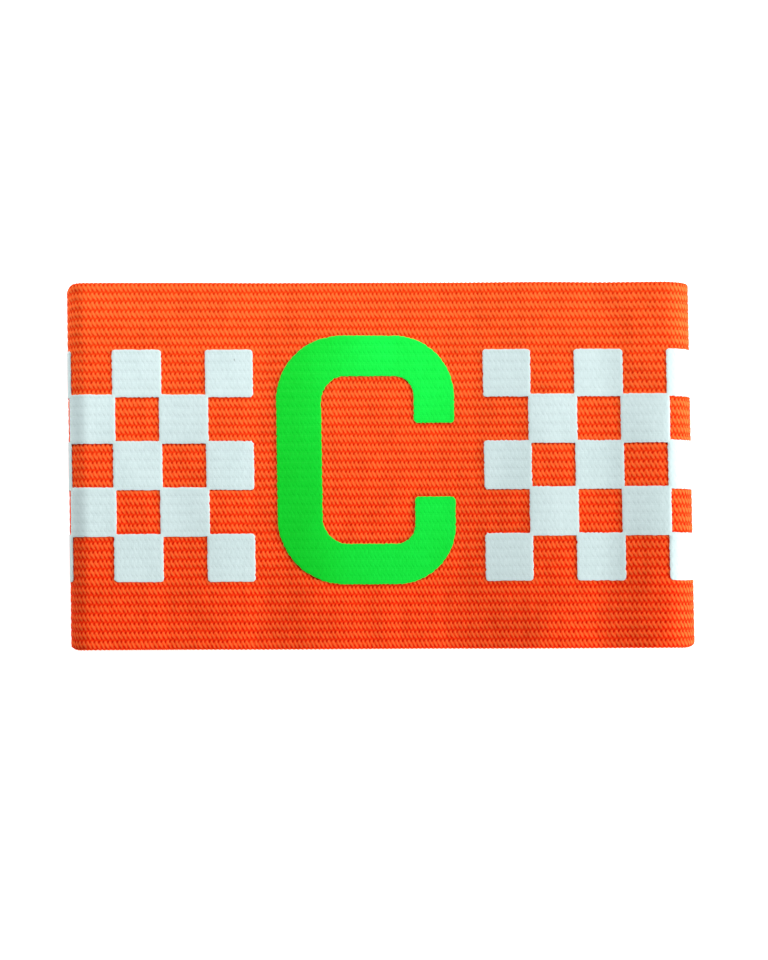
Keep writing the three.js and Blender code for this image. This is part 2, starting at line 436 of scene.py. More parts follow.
@dataclass(frozen=True)
class Finish:
    """What the finishes share: a named material, which each kind fills with its own nodes."""

    name: str

    def make(self) -> Material:
        """Make the material.

        Returns:
            The material, with its nodes in place.
        """
        material = bpy.data.materials.new(self.name)
        material.use_nodes = True
        material.node_tree.nodes.clear()
        add = partial(add_node, material.node_tree)
        add("OutputMaterial", {"Surface": self.shader(add)})
        return material

    def shader(self, add: AddNode) -> Node:
        """Add the nodes of one kind of finish, and return its shader."""
        raise NotImplementedError


@dataclass(frozen=True)
class WovenElastic(Finish):
    """Ribbed elastic, woven from bulked polyester yarn over rubber.

    The yarn is matt and full of colour, with painted light on the floats and painted shade in the
    valleys and the pits, deep red in the pits, where light has passed from yarn to yarn.
    """

    name: str = "woven_polyester_elastic"
    # Painted shade in the valleys and the pits, and painted light on the floats, over the yarn's own
    # colour on the ridges
    valley_colour: str = "#ff4812"
    yarn_colour: str = "#ff5a20"
    float_colour: str = "#ff7236"
    near_pit_colour: str = "#ec1c00"
    far_pit_colour: str = "#d81200"
    far_pit_strength: float = 0.82  # painted shade of the pits at the far selvedge, against that at the near one
    near_share: Triple = (0.98, 0.54, 0.48)  # painted shade, deeper at the near selvedge
    float_fade: float = 0.6  # the floats take this share less of that painted shade
    roughness: float = 0.95
    sheen: float = 0.03
    sheen_colour: str = "#ffb08a"
    # Filaments are 0.02 mm thick, too fine to show, so they are drawn 0.15 mm thick: six to a pitch
    filament_counts: Triple = (6.0, 1.6, 1.0)
    filaments: Noise = Noise(1.0, 3.0, 0.65)
    filament_relief: float = 0.5  # against a float's
    batches: Noise = Noise(0.22, 3.0)  # the dye takes a little unevenly, over some 4 mm by 8 mm
    mottle_range: Pair = (0.7, 1.3)
    mottle_values: Pair = (0.87, 1.13)
    relief: float = 0.08
    relief_strength: float = 0.3

    def shader(self, add: AddNode) -> Node:
        """Add the elastic's nodes.

        Args:
            add: Adds a node to the material's tree.

        Returns:
            The shader.
        """
        weave = WeavePattern().lay(add)
        uv, ridge, near = weave["uv"], weave["ridge"], weave["near"]
        stretched = add("VectorMath", {0: uv, 1: self.filament_counts}, operation="MULTIPLY")
        filaments = add("TexNoise", self.filaments.over(stretched))
        batches = add("TexNoise", self.batches.over(uv))
        over_ridge = add("Math", {0: weave["strand"], 1: ridge}, operation="MULTIPLY")
        raised = add("Math", {0: weave["float"], 1: over_ridge}, operation="MAXIMUM")
        # The pits' painted shade is weaker towards the far selvedge
        strength = add("MapRange", {"Value": near, "To Min": self.far_pit_strength, "To Max": 1.0})
        near_pit, far_pit = (
            add("Math", {0: weave[name], 1: strength}, operation="MULTIPLY")
            for name in ("near_pit", "far_pit")
        )
        # Paint the weave's relief: painted shade in the valleys and the pits, painted light on the
        # floats
        colour = linear(self.valley_colour)
        for share, over in (
            (ridge, self.yarn_colour), (raised, self.float_colour),
            (near_pit, self.near_pit_colour), (far_pit, self.far_pit_colour),
        ):
            colour = add("Mix", {"Factor": share, "A": colour, "B": linear(over)}, data_type="RGBA")
        mottle = {"Value": add("Math", {0: filaments, 1: batches})}
        value = add("MapRange", mottle | span(self.mottle_range, self.mottle_values))
        mottled = add("HueSaturation", {"Value": value, "Color": colour})
        # Painted shade towards the near selvedge, with less of it on the floats
        kept = add("Math", {0: raised, 1: -self.float_fade, 2: 1.0}, operation="MULTIPLY_ADD")
        dyed = add("Math", {0: near, 1: kept}, operation="MULTIPLY")
        colour = add(
            "Mix", {"Factor": dyed, "A": mottled, "B": (*self.near_share, 1.0)},
            data_type="RGBA", blend_type="MULTIPLY",
        )
        yarns = add("Math", {0: filaments, 1: self.filament_relief, 2: raised}, operation="MULTIPLY_ADD")
        relief = add("Math", {0: yarns, 1: weave["pit"]}, operation="SUBTRACT")
        bump = {"Strength": self.relief_strength, "Distance": self.relief * MM, "Height": relief}
        return add(
            "BsdfPrincipled",
            {"Base Color": colour, "Roughness": self.roughness, "Normal": add("Bump", bump),
             "Sheen Weight": self.sheen, "Sheen Roughness": 0.5, "Sheen Tint": linear(self.sheen_colour),
             "Specular IOR Level": 0.04, "IOR": 1.5},
        )


@dataclass(frozen=True)
class PressedFilm(Finish):
    """Heat-pressed polyurethane transfer film, 0.15 mm thick.

    The press leaves it satin and smooth, with the weave showing through as faint dimples with a touch
    of painted shade, a soft orange peel, and a few specks of lint caught under the surface.
    """

    colour: str
    shade_colour: str
    near_share: Triple = (1.0, 1.0, 1.0)  # painted shade at the near selvedge
    left_share: Triple = (1.0, 1.0, 1.0)  # and painted shade on the left
    left_run: Pair = (0.0, 1.0)  # from there to no painted shade, in pitches
    roughness: float = 0.45
    gloss_spread: Pair = (-0.05, 0.07)  # what the peel adds to the roughness
    peel_range: Pair = (0.3, 0.7)
    peel: Noise = Noise(1.3, 4.0, 0.6)  # one swell to about 0.7 mm
    peel_share: float = 0.9  # how much the peel's shade counts beside the patches'
    patches: Noise = Noise(0.12, 2.0)  # one patch to about 7 mm
    tone_range: Pair = (0.65, 1.25)
    dimple_colour: str = "#30404a"
    dimple_share: float = 0.02
    speck_colour: str = "#3b4a40"
    speck_share: float = 0.7
    speck_scale: float = 0.16  # one speck's cell to about 5 mm
    speck_fade: Pair = (0.045, 0.02)  # distance from a speck's middle, in cells
    speckless: float = 0.72  # share of the cells without a speck
    ridge_relief: float = 0.6  # against the peel's
    pit_relief: float = -0.4
    relief: float = 0.06
    relief_strength: float = 0.6

    def shader(self, add: AddNode) -> Node:
        """Add the film's nodes.

        Args:
            add: Adds a node to the material's tree.

        Returns:
            The shader.
        """
        weave = WeavePattern().lay(add)
        uv, pit = weave["uv"], weave["pit"]
        peel, patches = add("TexNoise", self.peel.over(uv)), add("TexNoise", self.patches.over(uv))
        tone = add("Math", {0: peel, 1: self.peel_share, 2: patches}, operation="MULTIPLY_ADD")
        toned = add("MapRange", {"Value": tone} | span(self.tone_range))
        # Painted shade in the dimples over the pits
        dimpled = add("Math", {0: pit, 1: self.dimple_share}, operation="MULTIPLY")
        pitches = add("SeparateXYZ", {0: uv}).outputs[0]
        # Painted shade towards the left, fading over the left run
        left = add("MapRange", {"Value": pitches} | span(self.left_run[::-1]), **SMOOTH)
        cells = add("TexVoronoi", {"Vector": uv, "Scale": self.speck_scale})
        fade = span(self.speck_fade, (0.0, self.speck_share))
        in_speck = add("MapRange", {"Value": cells} | fade, **SMOOTH)
        drawn = add("SeparateXYZ", {0: cells.outputs["Color"]})
        some = add("Math", {0: drawn, 1: self.speckless}, operation="GREATER_THAN")
        specks = add("Math", {0: in_speck, 1: some}, operation="MULTIPLY")
        colour = linear(self.shade_colour)
        for share, over, blend in (
            (toned, linear(self.colour), "MIX"),
            (dimpled, linear(self.dimple_colour), "MIX"),
            (weave["near"], (*self.near_share, 1.0), "MULTIPLY"),
            (left, (*self.left_share, 1.0), "MULTIPLY"),
            (specks, linear(self.speck_colour), "MIX"),
        ):
            layer = {"Factor": share, "A": colour, "B": over}
            colour = add("Mix", layer, data_type="RGBA", blend_type=blend)
        sagged = add("Math", {0: pit, 1: self.pit_relief, 2: peel}, operation="MULTIPLY_ADD")
        ridged = {0: weave["ridge"], 1: self.ridge_relief, 2: sagged}
        relief = add("Math", ridged, operation="MULTIPLY_ADD")
        bump = {"Strength": self.relief_strength, "Distance": self.relief * MM, "Height": relief}
        low, high = (self.roughness + change for change in self.gloss_spread)
        gloss = add("MapRange", {"Value": peel} | span(self.peel_range, (low, high)))
        return add(
            "BsdfPrincipled",
            {"Base Color": colour, "Roughness": gloss, "Normal": add("Bump", bump), "IOR": 1.5,
             "Specular IOR Level": 0.2},
        )


@dataclass(frozen=True)
class SewingThread(Finish):
    """Spun polyester sewing thread, 0.3 mm thick: matt, a shade deeper than the elastic it joins."""

    name: str = "spun_polyester_thread"
    colour: str = "#f2531e"
    shade_colour: str = "#cf3a0e"
    ply: float = 0.5  # one turn of the ply, in millimetres
    relief: float = 0.05
    relief_strength: float = 0.6
    roughness: float = 0.7

    def shader(self, add: AddNode) -> Node:
        """Add the thread's nodes.

        Args:
            add: Adds a node to the material's tree.

        Returns:
            The shader.
        """
        place, scale = add("TexCoord").outputs["Object"], 1 / (self.ply * MM * 2 * math.pi)
        turns = {"Vector": place, "Scale": scale, "Distortion": 1.5, "Detail": 2.0}
        ply = add("TexWave", turns, bands_direction="DIAGONAL").outputs["Fac"]
        shades = {"Factor": ply, "A": linear(self.shade_colour), "B": linear(self.colour)}
        bump = {"Strength": self.relief_strength, "Distance": self.relief * MM, "Height": ply}
        return add(
            "BsdfPrincipled",
            {"Base Color": add("Mix", shades, data_type="RGBA"), "Roughness": self.roughness,
             "Normal": add("Bump", bump), "Specular IOR Level": 0.15},
        )


@dataclass(frozen=True)
class OpalAcrylic(Finish):
    """Cast opal acrylic sheet, lit from below so that shadows on it stay faint."""

    name: str = "opal_acrylic"
    colour: str = "#eeefef"
    roughness: float = 0.9
    glow_colour: str = "#ffffff"
    glow: float = 0.8

    def shader(self, add: AddNode) -> Node:
        """Add the sheet's one node, and return it."""
        glow = {"Emission Color": linear(self.glow_colour), "Emission Strength": self.glow}
        return add(
            "BsdfPrincipled", glow | {"Base Color": linear(self.colour), "Roughness": self.roughness}
        )


def deselect_all() -> None:
    """Leave nothing selected, so that an operator acts on new pieces alone."""
    bpy.ops.object.select_all(action="DESELECT")


def read_points(items: Any, name: str) -> Array:
    """Read where each of a mesh's vertices or faces is.

    Args:
        items: The mesh's vertices or its faces.
        name: Their property that holds the place.

    Returns:
        Rows of x, y and z.
    """
    values = np.empty(len(items) * 3)
    items.foreach_get(name, values)
    return values.reshape(-1, 3)


def add_grid(name: str, columns: int, rows: int) -> Object:
    """Add a flat grid to be shaped, two units wide and high, with its own bake layout.

    Args:
        name: The piece's name.
        columns: Faces along X.
        rows: Faces along Y.

    Returns:
        The grid.
    """
    deselect_all()
    bpy.ops.mesh.primitive_grid_add(x_subdivisions=columns, y_subdivisions=rows, size=2.0)
    piece = bpy.context.object
    piece.name = name
    piece.data.name = name
    piece.data.uv_layers[0].name = BAKE_LAYOUT
    return piece


def grid_places(piece: Object, columns: int, rows: int) -> tuple[Array, Array]:
    """Return the column and the row of each vertex of a grid that hasn't been shaped yet."""
    shares = (read_points(piece.data.vertices, "co") + 1) / 2
    return np.rint(shares[:, 0] * columns).astype(int), np.rint(shares[:, 1] * rows).astype(int)


def move_vertices(piece: Object, points: Array) -> None:
    """Put a piece's vertices at new places, in metres."""
    piece.data.vertices.foreach_set("co", points.astype(np.float32).ravel())
    piece.data.update()


def add_tape_layout(piece: Object, u: Array, v: Array) -> None:
    """Add the "tape" UV map.

    Args:
        piece: The piece.
        u: Each vertex's U.
        v: Each vertex's V.
    """
    mesh = piece.data
    corners = np.empty(len(mesh.loops), dtype=int)
    mesh.loops.foreach_get("vertex_index", corners)
    layer = mesh.uv_layers.new(name=TAPE_LAYOUT, do_init=False)
    layer.data.foreach_set("uv", np.column_stack([u[corners], v[corners]]).astype(np.float32).ravel())
    mesh.uv_layers.active_index = 0


def edit(piece: Object, *steps: Callable[[], Any], select_all: bool = True) -> None:
    """Run operators on a piece in edit mode.

    Args:
        piece: The piece.
        steps: Calls that take nothing, in their order.
        select_all: Whether all of the piece is selected first.
    """
    deselect_all()
    piece.select_set(True)
    bpy.context.view_layer.objects.active = piece
    bpy.ops.object.mode_set(mode="EDIT")
    if select_all:
        bpy.ops.mesh.select_all(action="SELECT")
    for step in steps:
        step()
    bpy.ops.object.mode_set(mode="OBJECT")


def apply_modifier(piece: Object, kind: str, **settings: Any) -> None:
    """Add a modifier to a piece and apply it.

    Args:
        piece: The piece.
        kind: The modifier's type in Blender.
        settings: Its properties.
    """
    modifier = piece.modifiers.new(kind.lower(), kind)
    for name, value in settings.items():
        setattr(modifier, name, value)
    with bpy.context.temp_override(object=piece, active_object=piece):
        bpy.ops.object.modifier_apply(modifier=modifier.name)


def finish_piece(piece: Object, material: Material, slot: str, *nodes: str) -> Object:
    """Give a piece its finish and its place in the frame, and report it.

    Args:
        piece: The finished mesh object.
        material: Its material.
        slot: The record's material slot. It is not used.
        nodes: The CAD nodes that it stands for.

    Returns:
        The same piece.
    """
    piece.data.materials.clear()
    piece.data.materials.append(material)
    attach(piece, BODY)
    if nodes:
        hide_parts(*nodes)
    triangles = sum(len(p.vertices) - 2 for p in piece.data.polygons)
    log.info("%s: %d triangles, %s", piece.name, triangles, material.name)
    return piece


class RingRow(NamedTuple):
    """One row of a length of tape. Its ribs are counted round the ring, and inner is 1 or 0."""

    across: float
    zigzag: float
    float_height: float
    groove_height: float
    rib: float
    inner: float


@dataclass
class ElasticBand:
    """The loop of elastic, as two closed lengths of tape that meet in a groove under each fold.

    The front length has both folds. The back length lies on the floor and has the lapped seam.
    """

    face: LoopFace
    weave: Weave
    finish: WovenElastic = field(default_factory=WovenElastic)
    selvedge_round: float = 0.3
    selvedge_inset: float = 0.22  # from the faces of the tape to the ends of its rounding
    selvedge_rows: int = 4
    selvedge_scallop: float = 0.12
    selvedge_waver: float = 0.12  # the tape is narrower by up to this much at each selvedge
    waver_pitches: int = 14
    waver_power: int = 7  # the higher, the less the waver reaches in from the selvedges
    inner_valley: float = 0.24  # ribs of the inner face
    inner_groove: float = 0.10
    floor_press: float = 0.75  # the weight of the loop presses the ribs under it to this share
    height_noise: float = 0.014
    yarn_noise: float = 0.8  # the part that a whole yarn has in common, against each float's own
    along_noise: float = 0.035  # in pitches
    seam_place: float = 16.0  # to the right of the middle
    seam_length: float = 12.0
    seam_rise: float = 0.9
    seam_slope: float = 0.4
    butt_depth: float = 0.35  # the line where the outer end of the tape was cut
    weld: float = 0.002
    seed: int = 11
    rng: np.random.Generator = field(init=False, repr=False)

    def __post_init__(self) -> None:
        """Seed the small differences from yarn to yarn."""
        self.rng = np.random.default_rng(self.seed)

    @property
    def seam_start(self) -> float:
        """Return where the lap starts along the face."""
        right = self.face.flat_width / 2 - self.face.fold_radius(Side.RIGHT)
        return right - self.seam_place - self.seam_length / 2

    @property
    def seam_end(self) -> float:
        """Return where the lap ends along the face."""
        return self.seam_start + self.seam_length

    def _ring(self) -> dict[str, Array]:
        """Lay out one cross-section of the tape, from the near selvedge round its outer face first.

        Returns:
            Arrays by the names of RingRow, with one value to each row of the ring.
        """
        weave, wall = self.weave, self.face.wall
        shoulder = weave.ribbed_width / 2
        outer = [(rib, row) for rib in range(weave.ribs) for row in weave.rows]
        rows = [
            RingRow(
                -shoulder + (rib + row.share) * weave.rib_pitch, row.zigzag, -row.float_depth,
                -row.groove_depth, rib + row.share, 0.0,
            )
            for rib, row in [*outer, (weave.ribs, weave.rows[0])]
        ]
        rows += self._selvedge(1, weave.ribs)
        inner_start = weave.ribs + 1
        for half_rib in range(2 * weave.ribs + 1):
            across = shoulder - half_rib * weave.rib_pitch / 2
            height = -wall + (self.inner_valley if half_rib % 2 == 0 else 0.0)
            rib = inner_start + half_rib / 2
            rows.append(RingRow(across, 0.0, height, height + self.inner_groove, rib, 1.0))
        rows += self._selvedge(-1, inner_start + weave.ribs)
        rows.append(rows[0]._replace(rib=inner_start + weave.ribs + 1))
        return dict(zip(RingRow._fields, np.array(rows).T))

    def _selvedge(self, side: int, rib: int) -> list[RingRow]:
        """Lay out the rows round a selvedge.

        Args:
            side: 1 at the far selvedge, from the outer face in, and -1 at the near one, back out.
            rib: Ribs round the ring so far.

        Returns:
            The rows, in their order.
        """
        middle = self.face.wall / 2
        rows = []
        for step in range(1, self.selvedge_rows + 1):
            share = step / (self.selvedge_rows + 1)
            angle = math.pi * (0.5 - share) * side
            out = self.selvedge_round * math.cos(angle)
            height = -middle + (middle - self.selvedge_inset) * math.sin(angle)
            across = side * (self.weave.ribbed_width / 2 + out)
            rows.append(RingRow(across, 0.0, height, height, rib + share, 0.0))
        return rows

    def _waver(self, count: Array, across: Array) -> Array:
        """Return how far a place is drawn in by the uneven tension of the selvedges.

        Args:
            count: Counts of pitches.
            across: Places across the tape.

        Returns:
            Distances along "across", with its sign.
        """
        knots = np.arange(0, int(count.max()) + 2 * self.waver_pitches, self.waver_pitches)
        share = 2 * across / self.face.tape_width
        draws = self.rng.uniform(0.0, self.selvedge_waver, size=(2, len(knots)))
        near, far = (np.interp(count, knots, row) for row in draws)
        return np.where(across > 0, far, near) * share**self.waver_power

    def _length_of_tape(self, name: str, first: int, pitches: int, pressed: bool) -> Object:
        """Make a closed length of tape.

        Args:
            name: The piece's name.
            first: The count of pitches at which it starts.
            pitches: How many pitches long it is. Each has a groove and a float.
            pressed: Whether it lies on the floor, with its ribs pressed and the lap inside.

        Returns:
            The mesh object, closed and facing out.
        """
        ring = self._ring()
        columns, rows = 2 * pitches, len(ring["across"]) - 1
        piece = add_grid(name, columns, rows)
        column, row = grid_places(piece, columns, rows)
        across, rib, inner = ring["across"][row], ring["rib"][row], ring["inner"][row] > 0.5
        inside_ends = (column > 0) & (column < columns)

        # One draw for each place on the ring, so that its first and last rows stay together
        draw = self.rng.normal(size=(3, columns + 1, rows + 1))
        draw[:, :, -1] = draw[:, :, 0]
        yarn = self.rng.normal(size=columns + 1)
        push, lift = draw[0][column, row] * inside_ends, draw[1][column, row] * inside_ends

        count = first + column / 2
        twisted = count + ring["zigzag"][row]
        along = self.weave.along(twisted + self.along_noise * push)
        height = np.where(column % 2 == 0, ring["groove_height"][row], ring["float_height"][row])
        # The ring's last row is its first one again
        on_outer = (row <= self.weave.ribs * len(self.weave.rows)) | (row == rows)
        if pressed:
            height = np.where(on_outer, height * self.floor_press, height)
            start, end, slope = self.seam_start, self.seam_end, self.seam_slope
            corners = [start, start + slope, end - slope, end]
            lap = self.seam_rise * np.interp(self.weave.along(count), corners, [0.0, 1.0, 1.0, 0.0])
            share_in = np.clip(-height / self.face.wall, 0.0, 1.0)
            height = height - lap * np.where(on_outer, 0.0, np.where(inner, 1.0, share_in))
            butt = round(2 * (self.weave.count(np.array(end)) - first))
            height = height - self.butt_depth * (on_outer & (column == butt) & (row > 0))
        on_selvedge = ~inner & ~on_outer
        scallop = self.selvedge_scallop * (on_selvedge & (column % 2 == 0))
        across = across - np.sign(across) * scallop
        across = across - self._waver(count, across) * inside_ends
        noise = self.height_noise * (lift + self.yarn_noise * yarn[column] * inside_ends)
        height = height + np.where(on_outer | inner, noise, 0.0)
        if pressed:
            height = np.where(on_outer, np.minimum(height, 0.0), height)
        points = self.face.point(along, across, height)
        points[:, 2] = np.maximum(points[:, 2], 0.0)
        move_vertices(piece, points)
        add_tape_layout(piece, twisted, rib)
        edit(
            piece,
            lambda: bpy.ops.mesh.remove_doubles(threshold=MM * self.weld),
            lambda: bpy.ops.mesh.fill_holes(sides=0),
            lambda: bpy.ops.mesh.select_all(action="SELECT"),
            lambda: bpy.ops.mesh.normals_make_consistent(inside=False),
        )
        bpy.ops.object.shade_smooth()
        # One flat face closes each end
        for face in piece.data.polygons:
            if len(face.vertices) > 4:
                face.use_smooth = False
        return piece

    def build(self) -> tuple[Object, Object]:
        """Make and dress both lengths of tape.

        Returns:
            The front length with its folds, and the back length.
        """
        weave = self.weave
        material = self.finish.make()
        front = self._length_of_tape("elastic_front", weave.back_count, weave.front_count, False)
        back = self._length_of_tape("elastic_back", 0, weave.back_count, True)
        for piece in (front, back):
            finish_piece(piece, material, "orange_elastic", "elastic_band")
        return front, back


@dataclass
class FilmSheet:
    """What the film marks share: their thickness, and edges that the weave has left toothed."""

    face: LoopFace
    weave: Weave
    finish: PressedFilm
    thickness: float = 0.15
    gap: float = 0.01  # from the rib crests to the film's underside
    edge_round: float = 0.06
    edge_angle_deg: float = 50.0  # sharper turns than this are rounded
    smooth_angle_deg: float = 55.0
    tooth: float = 0.13  # how far the edge draws back over a pit
    raggedness: float = 0.035
    seed: int = 5

    def _edge_retreat(self, along: Array, across: Array, rng: np.random.Generator) -> Array:
        """Return how far the cut edge draws back at each place, in millimetres."""
        ragged = self.raggedness * rng.normal(size=along.shape)
        return self.tooth * self.weave.pit(along, across) + ragged

    def _lay(self, piece: Object, along: Array, across: Array) -> None:
        """Lay a flat grid on the face, give it its thickness, and round and smooth its edges.

        Args:
            piece: The grid.
            along: Each vertex's place along the face.
            across: Each vertex's place across the tape.
        """
        height = np.full_like(along, self.gap + self.thickness)
        move_vertices(piece, self.face.point(along, across, height))
        add_tape_layout(piece, self.weave.count(along), self.weave.rib(across))
        apply_modifier(piece, "SOLIDIFY", thickness=self.thickness * MM, offset=-1.0)
        apply_modifier(
            piece, "BEVEL", width=self.edge_round * MM, segments=2, limit_method="ANGLE",
            angle_limit=math.radians(self.edge_angle_deg),
        )
        edit(piece, lambda: bpy.ops.mesh.normals_make_consistent(inside=False))
        bpy.ops.object.shade_smooth_by_angle(angle=math.radians(self.smooth_angle_deg))


@dataclass
class FilmLetter(FilmSheet):
    """The letter, as a bar that follows a squared curve with round corners."""

    place: float = -2.4  # its middle, along the face from the middle of the front
    lift: float = 1.1  # its middle, towards the far selvedge
    width: float = 36.3
    height: float = 50.7
    stem_width: float = 9.2
    bar_width: float = 8.3
    mouth: float = 15.0
    stem_corner_radius: float = 5.2
    arm_corner_radius: float = 3.9
    corner_points: int = 60
    end_round: float = 0.8  # radius of the corners at the arms' ends
    end_points: int = 6
    step: float = 0.35
    rows: int = 20

    def _bar(self) -> tuple[Array, Array, Array]:
        """Trace the middle line of the bar, from the end of its upper arm to that of its lower one.

        Returns:
            Points at even steps, their headings, and half the bar's width there.
        """
        arm = self.arm_corner_radius + self.bar_width / 2
        stem = self.stem_corner_radius + self.bar_width / 2
        right, left = (self.width - self.bar_width) / 2, (self.stem_width - self.width) / 2
        top = (self.height - self.bar_width) / 2
        corners = (
            (right - arm, top - arm, arm, 0.0),
            (left + stem, top - stem, stem, 90.0),
            (left + stem, stem - top, stem, 180.0),
            (right - arm, arm - top, arm, 270.0),
        )
        points = [(right, self.mouth / 2)]
        for x, y, radius, start in corners:
            for angle in np.radians(np.linspace(start, start + 90.0, self.corner_points)):
                points.append((x + radius * math.cos(angle), y + radius * math.sin(angle)))
        points.append((right, -self.mouth / 2))
        line = np.array(points)
        lengths = lengths_along(line)
        rounding = self.end_round * (1 - np.cos(np.radians(np.linspace(0.0, 90.0, self.end_points))))
        steps = math.ceil((lengths[-1] - 2 * self.end_round) / self.step)
        even = np.linspace(self.end_round, lengths[-1] - self.end_round, steps + 1)
        even = np.concatenate([rounding[:-1], even, lengths[-1] - rounding[-2::-1]])
        middle = np.column_stack([np.interp(even, lengths, line[:, i]) for i in (0, 1)])
        heading = np.gradient(middle, axis=0)
        heading /= np.linalg.norm(heading, axis=1, keepdims=True)
        towards_arm = ease(np.clip((middle[:, 0] - left) / stem, 0.0, 1.0))
        half = (self.stem_width + (self.bar_width - self.stem_width) * towards_arm) / 2
        into = np.clip(1 - np.minimum(even, lengths[-1] - even) / self.end_round, 0.0, 1.0)
        return middle, heading, half - self.end_round * (1 - np.sqrt(1 - into**2))

    def build(self) -> Object:
        """Make and dress the letter.

        Returns:
            The letter.
        """
        rng = np.random.default_rng(self.seed)
        middle, heading, half = self._bar()
        columns = len(middle) - 1
        piece = add_grid("film_letter", columns, self.rows)
        column, row = grid_places(piece, columns, self.rows)
        side = 2 * row / self.rows - 1
        origin = (self.face.front_middle + self.place, self.lift)
        place, ahead = middle[column], heading[column]
        aside = ahead[:, ::-1] * (-1, 1)
        flat = place + (side * half[column])[:, None] * aside
        retreat = self._edge_retreat(*(origin + flat).T, rng)
        reach = side * (half[column] - np.where(np.abs(side) == 1.0, retreat, 0.0))
        back = np.where(column == 0, retreat, np.where(column == columns, -retreat, 0.0))
        flat = place + reach[:, None] * aside + back[:, None] * ahead
        self._lay(piece, *(origin + flat).T)
        return finish_piece(piece, self.finish.make(), "green_film", "captain_letter")


@dataclass
class FilmPanel(FilmSheet):
    """A chequered panel from beside the letter to its fold, whose squares join at their corners."""

    side: Side = field(kw_only=True)
    letter: FilmLetter = field(kw_only=True)
    letter_gap: float = field(kw_only=True)
    material: Material = field(kw_only=True)
    panel_height: float = 47.2
    panel_rows: int = 5
    corner_join: float = 0.3  # how far a square reaches past its corner into the next one
    corner_cut: float = 0.3  # the cutter rounds an outer corner by this much
    wrap_deg: float = 105.0  # how far the panel runs round its fold
    least_square: float = 1.5  # a last column narrower than this is left off
    cell: float = 0.45

    def _edges(self) -> tuple[float, list[float], list[float]]:
        """Lay out the panel's squares.

        Returns:
            Its start along the face, and the edges of its columns and rows, from its start and its
            middle.
        """
        way = self.side.value
        square = self.panel_height / self.panel_rows
        letter_middle = self.face.front_middle + self.letter.place
        start = letter_middle + way * (self.letter.width / 2 + self.letter_gap)
        fold = self.face.front_start if self.side is Side.LEFT else self.face.front_end
        reach = way * (fold - start) + math.radians(self.wrap_deg) * self.face.fold_radius(self.side)
        columns = [i * square for i in range(int(reach // square) + 1)]
        if reach - columns[-1] > self.least_square:
            columns.append(reach)
        rows = [j * square - self.panel_height / 2 for j in range(self.panel_rows + 1)]
        return start, columns, rows

    def _cells(self, edges: list[float]) -> tuple[Array, Array]:
        """Divide a row of squares into cells, with the joins between squares as cells of their own.

        Args:
            edges: The edges of the squares.

        Returns:
            The lines between cells, and whether each cell is in an even square and in an odd one.
        """
        inner, ways = edges[1:-1], (-self.corner_join, self.corner_join)
        bounds = [edges[0], *(edge + way for edge in inner for way in ways), edges[-1]]
        lines = [bounds[0]]
        for low, high in zip(bounds, bounds[1:]):
            steps = max(1, round((high - low) / self.cell))
            lines += [low + (high - low) * (i + 1) / steps for i in range(steps)]
        middles = (np.array(lines[1:]) + lines[:-1]) / 2
        squares = np.array([np.searchsorted(inner, middles + way) for way in ways])
        return np.array(lines), np.array([(squares % 2 == odd).any(axis=0) for odd in (0, 1)])

    def build(self) -> Object:
        """Make and dress the panel.

        Returns:
            The panel.
        """
        rng = np.random.default_rng(self.seed)
        start, column_edges, row_edges = self._edges()
        (distances, in_columns), (places, in_rows) = self._cells(column_edges), self._cells(row_edges)
        film = np.outer(in_columns[0], in_rows[0]) | np.outer(in_columns[1], in_rows[1])
        out = self.side.value * distances
        side = self.side.name.lower()
        piece = add_grid(f"film_panel_{side}", *film.shape)
        self._cut(piece, film)
        column, row = grid_places(piece, *film.shape)
        inward, corner = (found[column, row] for found in self._inward(film, out, places))
        along, across = start + out[column], places[row]
        retreat = self._edge_retreat(along, across, rng) + self.corner_cut * corner
        if self.side is Side.LEFT:
            edit(piece, lambda: bpy.ops.mesh.flip_normals())
        self._lay(piece, along + inward[:, 0] * retreat, across + inward[:, 1] * retreat)
        return finish_piece(piece, self.material, "white_film", f"{side}_chequer")

    @staticmethod
    def _cut(piece: Object, film: Array) -> None:
        """Delete the grid's faces that aren't film.

        Args:
            piece: The grid.
            film: Whether each of its cells is film, by column and row.
        """
        faces = piece.data.polygons
        column, row = ((read_points(faces, "center")[:, :2] + 1) / 2 * film.shape).astype(int).T
        edit(
            piece,
            lambda: bpy.ops.mesh.select_mode(type="FACE"),
            lambda: bpy.ops.mesh.select_all(action="DESELECT"),
        )
        faces.foreach_set("select", ~film[column, row])
        edit(
            piece,
            lambda: bpy.ops.mesh.delete(type="FACE"),
            lambda: bpy.ops.mesh.select_mode(type="VERT"),
            select_all=False,
        )

    @staticmethod
    def _inward(film: Array, columns: Array, rows: Array) -> tuple[Array, Array]:
        """Find the way into the film from each crossing of the grid's lines.

        Args:
            film: Whether each cell is film, by column and row.
            columns: The lines between the columns.
            rows: The lines between the rows.

        Returns:
            A vector for each crossing, inwards and one long on the film's outline and zero elsewhere,
            and whether it is an outer corner.
        """
        around = np.pad(film, 1).astype(float)
        # Cells of film above and below each line between rows, and on both sides of one between columns
        stacked, abreast = around[:, 1:] + around[:, :-1], around[1:] + around[:-1]
        widths, heights = np.pad(np.diff(columns), 1), np.pad(np.diff(rows), 1)
        way = np.stack([np.diff(stacked * widths[:, None], axis=0), np.diff(abreast * heights)], axis=-1)
        faces = stacked[1:] + stacked[:-1]
        on_outline = (faces > 0) & (faces < 4)
        size = np.linalg.norm(way, axis=-1, keepdims=True)
        way = np.divide(way, size, out=np.zeros_like(way), where=size > 1e-6)
        return way * on_outline[..., None], faces == 1


